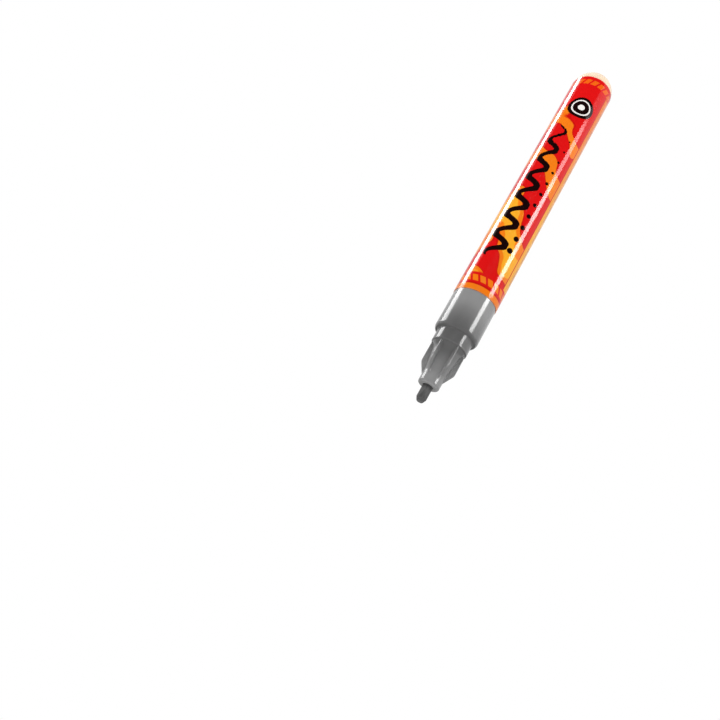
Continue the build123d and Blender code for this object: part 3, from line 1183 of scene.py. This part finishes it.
@dataclass
class FrontSection:
    """The grey mouldings in front of the barrel: collar, finned nozzle and screw thread, with the gasket.

    Sizes are in millimetres. The groove and the web hold a radius and the heights of their front and back.
    """

    finishes: Finishes
    coils: GeometryTree
    plug_bore: float = 4.4
    plug_chamfer: float = 0.4
    neck_radius: float = 5.5
    neck_back: float = 22.45
    neck_chamfer: float = 0.25
    skirt_radius: float = 6.75
    shoulder_radius: float = 6.3
    skirt_front: float = 23.2
    skirt_back: float = 35.5
    spigot_radius: float = 5.5
    spigot_chamfer: float = 0.4
    groove: Triple = (5.02, 35.6, 36.54)
    web: Triple = (2.3, 25.0, 26.2)
    valve_bore: float = 4.3
    thread_depth: float = 0.35
    thread_ridge: float = 0.45
    thread_lead: float = 2.0
    thread_margins: Span = (0.9, 0.5)
    thread_taper: float = 0.06
    tip_radius: float = 3.25
    tip_edge: float = 0.6
    cone: Span = (8.95, 17.95)
    body_radius: float = 4.35
    flare_radius: float = 5.1
    flare_length: float = 1.4
    neck_gap: float = 0.02
    guide_radius: float = 1.58
    channel_radius: float = 3.0
    fin_count: int = 6
    fin_radius: float = 5.2
    fin_thickness: float = 0.9
    fin_front: float = 7.8
    fin_bevel: float = 3.65
    fin_phase: float = 54.0
    fin_edge: float = 0.11
    fin_crown: float = 0.18
    fin_corner: float = 0.4
    gasket_sides: int = 20
    columns: int = 192

    def build_collar(self) -> None:
        """The neck, the bevelled shoulder, the skirt and the spigot."""
        front, back = box_ends("collar")
        root, groove_front, groove_back = self.groove
        hole, web_front, web_back = self.web
        spigot = self.spigot_radius
        corners = [
            (self.plug_bore, front, 0.06),
            (self.neck_radius - self.neck_chamfer, front, 0.08),
            (self.neck_radius, front + self.neck_chamfer, 0.1),
            (self.neck_radius, self.neck_back, 0.25),
            (self.shoulder_radius, self.neck_back, 0.6),
            (self.skirt_radius, self.skirt_front, 1.4),
            (self.skirt_radius, self.skirt_back, 0.1),
            (spigot, self.skirt_back, 0.08),
            (spigot, groove_front, 0.05),
            (root, groove_front, 0.05),
            (root, groove_back, 0.05),
            (spigot, groove_back, 0.05),
            (spigot, back - self.spigot_chamfer, 0.1),
            (spigot - self.spigot_chamfer, back, 0.08),
            (self.valve_bore, back, 0.05),
            (self.valve_bore, web_back, 0.0),
            (hole, web_back, 0.0),
            (hole, web_front, 0.0),
            (self.plug_bore, web_front, 0.0),
        ]
        mesh = TurnedOutline(corners).mesh("collar_moulding", even_angles(self.columns))
        self.finishes.place(mesh, Body.FRONT, Slot.GREY, "collar")

    def _fin_angles(self) -> np.ndarray:
        """Columns of the nozzle, close together where a fin's walls stand.

        Returns:
            Their angles, rising.
        """
        wall = self.fin_thickness / 2 / self.fin_radius
        edge = self.fin_edge / self.fin_radius
        half = math.pi / self.fin_count
        crown_steps, wall_steps, root_steps = 4, 10, 9
        crown = np.linspace(0.0, wall - edge, crown_steps)
        rise = wall + edge * np.linspace(-0.8, 1.0, wall_steps)
        side = np.concatenate([crown, rise, np.linspace(wall + 2 * edge, half, root_steps)])
        one = np.concatenate([-side[:0:-1], side[:-1]])
        turns = [math.radians(self.fin_phase) + 2 * half * turn + one for turn in range(self.fin_count)]
        return np.concatenate(turns)

    def build_nozzle(self) -> None:
        """The nib holder, turned first, with its fins raised by the fin tree."""
        front, back = box_ends("nozzle")
        neck, _ = box_ends("collar")
        cone_front, cone_back = self.cone
        flare = neck - self.flare_length
        waist = float(np.interp(flare, self.cone, (self.tip_radius, self.body_radius)))
        corners = [
            (self.guide_radius, front, 0.08),
            (self.tip_radius, front, self.tip_edge),
            (self.tip_radius, cone_front, 5.0),
            (waist, flare, 2.5),
            (self.flare_radius, neck - 2 * self.neck_gap, 0.0),
            (self.body_radius, neck - self.neck_gap, 0.0),
            (self.body_radius, back - self.plug_chamfer, 0.1),
            (self.body_radius - self.plug_chamfer, back, 0.08),
            (self.channel_radius, back, 0.0),
            (self.channel_radius, cone_back, 0.0),
            (self.guide_radius, cone_front, 0.0),
        ]
        start = TurnedOutline(corners, row_step=0.22).mesh("nozzle_core", self._fin_angles())
        lengths = {
            "Fin Radius": self.fin_radius,
            "Root Radius": self.tip_radius,
            "Thickness": self.fin_thickness,
            "Edge": self.fin_edge,
            "Crown": self.fin_crown,
            "Corner": self.fin_corner,
            "Front": self.fin_front,
            "Bevel Length": self.fin_bevel,
            "Back": neck - 1.5 * self.neck_gap,
        }
        others = {
            "Count": self.fin_count,
            "Phase": math.radians(self.fin_phase),
            "Material": self.finishes.by_slot[Slot.GREY],
        }
        mesh = fin_tree().run("finned_nozzle", lengths, others, start)
        self.finishes.place(mesh, Body.FRONT, Slot.GREY, "nozzle")

    def build_thread(self) -> None:
        """The screw thread on the spigot, behind the gasket."""
        _, back = box_ends("collar")
        before, behind = self.thread_margins
        start, end = self.groove[2] + before, back - self.spigot_chamfer - behind
        lengths = {
            "Radius": self.spigot_radius + self.thread_depth - self.thread_ridge,
            "Base": start,
            "Height": end - start,
            "Wire Radius": self.thread_ridge,
        }
        others = {
            "Turns": (end - start) / self.thread_lead,
            "Closed Share": 0.0,
            "Taper Share": self.thread_taper,
            "Material": self.finishes.by_slot[Slot.GREY],
        }
        mesh = self.coils.run("spigot_thread", lengths, others)
        self.finishes.place(mesh, Body.FRONT, Slot.GREY)

    def build_gasket(self) -> None:
        """The rubber ring at the root of the spigot."""
        front, back = box_ends("collar_gasket")
        section, height = (back - front) / 2, (back + front) / 2
        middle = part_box("collar_gasket")[1].x / MM - section
        turns = [FULL_TURN * step / self.gasket_sides for step in range(self.gasket_sides)]
        corners = [
            (middle + section * math.cos(turn), height + section * math.sin(turn), 0.0) for turn in turns
        ]
        mesh = TurnedOutline(corners).mesh("rubber_ring", even_angles(self.columns))
        self.finishes.place(mesh, Body.GASKET, Slot.RUBBER, "collar_gasket")

    def build(self) -> None:
        """Builds and dresses the front section."""
        self.build_collar()
        self.build_nozzle()
        self.build_thread()
        self.build_gasket()


@dataclass
class PumpValve:
    """The nib and the valve that it works: stem, seal, housing, cage and spring. Sizes are in millimetres."""

    finishes: Finishes
    coils: GeometryTree
    nib_radius: float = 1.5
    nib_end_radius: float = 0.95
    nib_bevel: float = 1.25
    nib_crown: float = 0.12
    nib_crown_rows: Sequence[float] = (0.0, 0.3, 0.6, 0.85)
    nib_back_chamfer: float = 0.3
    spring_turns: float = 7.0
    wire_radius: float = 0.2
    press_travel: float = 2.0
    columns: int = 96

    def build_nib(self) -> None:
        """The fibre rod with its crowned and bevelled end."""
        tip, back = box_ends("nib")
        end, crown, chamfer = self.nib_end_radius, self.nib_crown, self.nib_back_chamfer
        corners = [
            *((end * share, tip + crown * share * share, 0.0) for share in self.nib_crown_rows),
            (end, tip + crown, 0.12),
            (self.nib_radius, tip + self.nib_bevel, 0.3),
            (self.nib_radius, back - chamfer, 0.05),
            (self.nib_radius - chamfer, back, 0.0),
            (0.0, back, 0.0),
        ]
        mesh = TurnedOutline(corners, row_step=1.5).mesh("fibre_nib", even_angles(self.columns))
        self.finishes.place(mesh, Body.PLUNGER, Slot.NIB, "nib")

    def build_spring(self) -> None:
        """The return spring, which in the marker shortens as the nib is pressed; here it is built at one
        length.
        """
        low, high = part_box("valve_spring")
        length, wire = (high.z - low.z) / MM, self.wire_radius
        lengths = {
            "Radius": high.x / MM - wire,
            "Base": low.z / MM + wire,
            "Height": length - 2 * wire,
            "Wire Radius": wire,
        }
        others = {
            "Turns": self.spring_turns,
            "Closed Share": 1.0 / self.spring_turns,
            "Taper Share": 0.0,
            "Material": self.finishes.by_slot[Slot.SPRING],
        }
        mesh = self.coils.run("return_spring", lengths, others)
        piece = self.finishes.place(mesh, Body.FRONT, Slot.SPRING, "valve_spring")
        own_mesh(piece)

    def build(self) -> None:
        """Builds and dresses the valve."""
        self.build_nib()
        self.build_spring()
        self.finishes.dress(Slot.VALVE, "valve_stem", "valve_housing", "valve_cage")
        self.finishes.dress(Slot.RUBBER, "valve_seal")


def hide_from(item: bpy.types.Object, *rays: str) -> None:
    """Hides a thing of the studio from some kinds of rays."""
    for ray in rays:
        setattr(item, f"visible_{ray}", False)


class Reach(Enum):
    """What a lamp works on. The value is the kind of ray that doesn't see it."""

    SHADE = "glossy"
    GLOSS = "diffuse"


@dataclass(frozen=True)
class Lamp:
    """A rectangular soft light. Places and sizes are in millimetres."""

    name: str
    place: Triple
    aim: Triple
    width: float
    height: float
    radiance: float
    reach: Reach

    def build(self) -> None:
        """Puts the light into the scene."""
        light = bpy.data.lights.new(self.name, "AREA")
        light.shape = "RECTANGLE"
        light.size, light.size_y = self.width * MM, self.height * MM
        light.energy = AREA_LAMP_FACTOR * light.size * light.size_y * self.radiance
        holder = bpy.data.objects.new(self.name, light)
        holder.location = Vector(self.place) * MM
        holder.rotation_euler = (Vector(self.aim) - Vector(self.place)).to_track_quat("-Z", "Y").to_euler()
        hide_from(holder, "camera", self.reach.value)
        bpy.context.scene.collection.objects.link(holder)


@dataclass(frozen=True)
class Flag:
    """A small card that shades the neck from one lamp, and of which only the shadow shows.

    Places and sizes are in millimetres. The distances from the neck and the widths are those of its lower and
    its upper edge.
    """

    name: str
    lamp: Triple
    target_radius: float
    target_height: float
    distances: Span
    widths: Span
    height: float

    def build(self) -> None:
        """Puts the card between its lamp and the neck."""
        level = Vector((self.lamp[0], self.lamp[1], 0.0)).normalized()
        target = level * self.target_radius + Vector((0.0, 0.0, self.target_height))
        toward = (Vector(self.lamp) - target).normalized()
        side = Vector((0.0, 0.0, 1.0)).cross(toward).normalized()
        rise = toward.cross(side)
        places = []
        for up, width, distance_away in zip((-1, 1), self.widths, self.distances):
            middle = target + toward * distance_away + rise * (up * self.height / 2)
            places += [(middle + side * (along * width / 2)) * MM for along in (-up, up)]
        mesh = bpy.data.meshes.new(self.name)
        mesh.from_pydata(places, [], [(0, 1, 2, 3)])
        card = new_object(self.name, mesh)
        hide_from(card, "camera", "glossy", "diffuse", "transmission")


@dataclass
class Studio:
    """White studio: a pale floor, soft light, two long strip lights for the gloss, and the camera.

    Places and sizes are in millimetres.
    """

    ambient: float = 0.225
    key_place: Triple = (-60.0, -385.0, 265.0)
    left_place: Triple = (-420.0, 20.0, 180.0)
    right_place: Triple = (420.0, -40.0, 140.0)
    rear_place: Triple = (60.0, 420.0, 260.0)
    tip_place: Triple = (0.0, 0.0, -1.5)
    strip_distance: float = 200.0
    neck_radius: float = 5.5
    wall_radius: float = 600.0
    wall_span: Span = (-84.0, 43.0)
    wall_steps: int = 25
    ring_span: Span = (14.0, 140.0)
    ring_lift: float = 0.3
    ring_steps: int = 49
    floor_level: float = -7.0
    floor_radius: float = 550.0
    floor_fade: Span = (0.15, 0.75)
    floor_sides: int = 96
    camera_place: Triple = (-0.2, -186.0, -68.3)
    camera_up: Triple = (-0.4836, -0.3553, 0.7999)
    camera_back: Triple = (0.0995, -0.9303, -0.3531)
    camera_lens: float = 35.67
    camera_sensor: float = 36.0
    camera_clip: float = 5.0

    def lamps(self) -> list[Lamp]:
        """The studio's lights.

        Returns:
            The lamps that shade the marker, and those that show in its gloss.
        """
        middle = (0.0, 0.0, 75.0)
        right_steps = [(122.0, 147.0, 8.7), (147.0, 190.0, 19.0), (190.0, 245.0, 17.0), (245.0, 300.0, 7.0)]
        return [
            Lamp("key_light", self.key_place, middle, 220.0, 220.0, 7.2, Reach.SHADE),
            Lamp("left_light", self.left_place, middle, 260.0, 300.0, 2.4, Reach.SHADE),
            Lamp("right_light", self.right_place, middle, 260.0, 300.0, 2.8, Reach.SHADE),
            Lamp("rear_light", self.rear_place, middle, 300.0, 300.0, 4.6, Reach.SHADE),
            Lamp("tip_light", self.tip_place, middle, 12.0, 12.0, 1.3, Reach.SHADE),
            *self.strip("strip_left_low", 166.8, 28.5, [(77.0, 121.0, 5.4), (121.0, 147.0, 5.4)]),
            *self.strip("strip_left_middle", 164.3, 23.5, [(147.0, 235.0, 14.5)]),
            *self.strip("strip_left_high", 162.5, 20.0, [(235.0, 370.0, 14.5)]),
            *self.strip("strip_right_tip", 323.5, 20.4, [(60.0, 100.0, 8.0)]),
            *self.strip("strip_right_neck", 319.0, 15.0, [(100.0, 122.0, 7.0)]),
            *self.strip("strip_right", 323.5, 20.4, right_steps),
        ]

    def flags(self) -> list[Flag]:
        """The cards that keep the neck darker than the rest.

        Returns:
            One card for each of the three lamps in front and beside.
        """
        neck, even = self.neck_radius, (14.0, 14.0)
        return [
            Flag("key_flag", self.key_place, neck, 20.0, (7.0, 20.0), (2.0, 24.0), height=11.4),
            Flag("left_flag", self.left_place, neck, 20.2, even, even, height=10.0),
            Flag("right_flag", self.right_place, neck, 18.2, even, even, height=14.0),
        ]

    def strip(self, name: str, turn: float, spread: float, steps: Sequence[Triple]) -> list[Lamp]:
        """A tall strip light that shows in the gloss, in steps of different strength.

        Args:
            name: Name of the strip.
            turn: Its direction about the axis from +X, in degrees.
            spread: The angle that it takes up about the axis, in degrees.
            steps: Lower end, upper end and radiance of each step.

        Returns:
            One lamp for each step.
        """
        angle = math.radians(turn)
        place = (self.strip_distance * math.cos(angle), self.strip_distance * math.sin(angle))
        width = 2 * self.strip_distance * math.tan(math.radians(spread / 2))
        lamps = []
        for number, (low, high, radiance) in enumerate(steps, start=1):
            level = (low + high) / 2
            aim, size = (0.0, 0.0, level), (width, high - low)
            lamps.append(Lamp(f"{name}_{number}", (*place, level), aim, *size, radiance, Reach.GLOSS))
        return lamps

    def build_painted_dark_reflections(self) -> None:
        """Painted dark reflections: a near-black wall behind the camera and a near-black ring just above the
        floor, seen by the gloss alone.
        """
        # Painted dark reflection: these sheets only darken what the gloss shows; camera, shadows and diffuse
        # light pass them.
        surface = Surface("painted_dark_reflection_sheet")
        surface.set({"Base Color": Hue.PAINTED_DARK_REFLECTION, "Roughness": 1.0})
        wall, lift = self.wall_radius, self.floor_level + self.ring_lift
        wall_turns = np.radians(np.linspace(*self.wall_span, self.wall_steps))
        ring_turns = np.linspace(-math.pi, math.pi, self.ring_steps)
        sheets = {
            "painted_dark_reflection_wall": (wall_turns, [(wall, -wall), (wall, 2 * wall)]),
            "painted_dark_reflection_ring": (ring_turns, [(radius, lift) for radius in self.ring_span]),
        }
        for name, (turns, edges) in sheets.items():
            places = [(r * math.sin(t) * MM, -r * math.cos(t) * MM, z * MM) for r, z in edges for t in turns]
            count = len(turns)
            faces = [(at, at + 1, at + 1 + count, at + count) for at in range(count - 1)]
            mesh = bpy.data.meshes.new(name)
            mesh.from_pydata(places, [], faces)
            mesh.materials.append(surface.material)
            sheet = new_object(name, mesh)
            hide_from(sheet, "camera", "shadow", "diffuse", "transmission")

    def build_floor(self) -> None:
        """The floor under the nib: it shows from above alone, and fades out into the background."""
        radius, level = self.floor_radius * MM, self.floor_level * MM
        places = [(radius * math.cos(a), radius * math.sin(a), level) for a in even_angles(self.floor_sides)]
        mesh = bpy.data.meshes.new("studio_floor")
        mesh.from_pydata(places, [], [list(range(self.floor_sides))])
        material = bpy.data.materials.new("studio_paper")
        nodes = blank_nodes(material)
        away = nodes.value("ShaderNodeVectorMath", {0: nodes.place()}, "Value", operation="LENGTH")
        fade = away.remap(*(share * radius for share in self.floor_fade), smooth=True)
        under = nodes.value("ShaderNodeNewGeometry", output="Backfacing")
        clear = nodes.ray("Camera") * fade.math("MAXIMUM", under)
        shade = nodes.mix(nodes.ray("Diffuse"), Hue.PAPER, Hue.PAPER_BOUNCE)
        paper = nodes.value("ShaderNodeBsdfDiffuse", {"Color": shade})
        nothing = nodes.value("ShaderNodeBsdfTransparent")
        both = nodes.value("ShaderNodeMixShader", {0: clear, 1: paper, 2: nothing})
        nodes.add("ShaderNodeOutputMaterial", {"Surface": both})
        mesh.materials.append(material)
        new_object("studio_floor", mesh)

    def build_world(self) -> None:
        """A white surround that the camera and the gloss see at full strength, and that lights softly."""
        world = bpy.data.worlds.new("studio_white")
        nodes = blank_nodes(world)
        camera, glossy, through = [nodes.ray(kind) for kind in ("Camera", "Glossy", "Transmission")]
        seen = camera.math("MAXIMUM", glossy).math("MAXIMUM", through)
        feeds = {"Color": (1.0, 1.0, 1.0, 1.0), "Strength": seen.remap(0.0, 1.0, self.ambient, 1.0)}
        nodes.add("ShaderNodeOutputWorld", {"Surface": nodes.value("ShaderNodeBackground", feeds)})
        bpy.context.scene.world = world

    def build_camera(self) -> None:
        """The camera, at the photograph's viewing angle."""
        data = bpy.data.cameras.new("photo_camera")
        data.lens, data.sensor_width = self.camera_lens, self.camera_sensor
        data.clip_start = self.camera_clip * MM
        camera = bpy.data.objects.new("photo_camera", data)
        back = Vector(self.camera_back).normalized()
        right = Vector(self.camera_up).cross(back).normalized()
        turn = Matrix((right, back.cross(right), back)).transposed().to_4x4()
        camera.matrix_world = Matrix.Translation(Vector(self.camera_place) * MM) @ turn
        bpy.context.scene.collection.objects.link(camera)
        bpy.context.scene.camera = camera

    def build(self) -> None:
        """Builds the studio."""
        self.build_world()
        self.build_floor()
        self.build_painted_dark_reflections()
        for stand in [*self.lamps(), *self.flags()]:
            stand.build()
        self.build_camera()
        bpy.context.scene.view_settings.view_transform = "Standard"


def main() -> None:
    """Builds the marker and its studio in order."""
    logging.basicConfig(level=logging.INFO, format="%(name)s %(message)s")
    finishes = Finishes()
    coils = coil_tree()
    Reservoir(finishes).build()
    FrontSection(finishes, coils).build()
    PumpValve(finishes, coils).build()
    Studio().build()


if __name__ == "__main__":
    main()
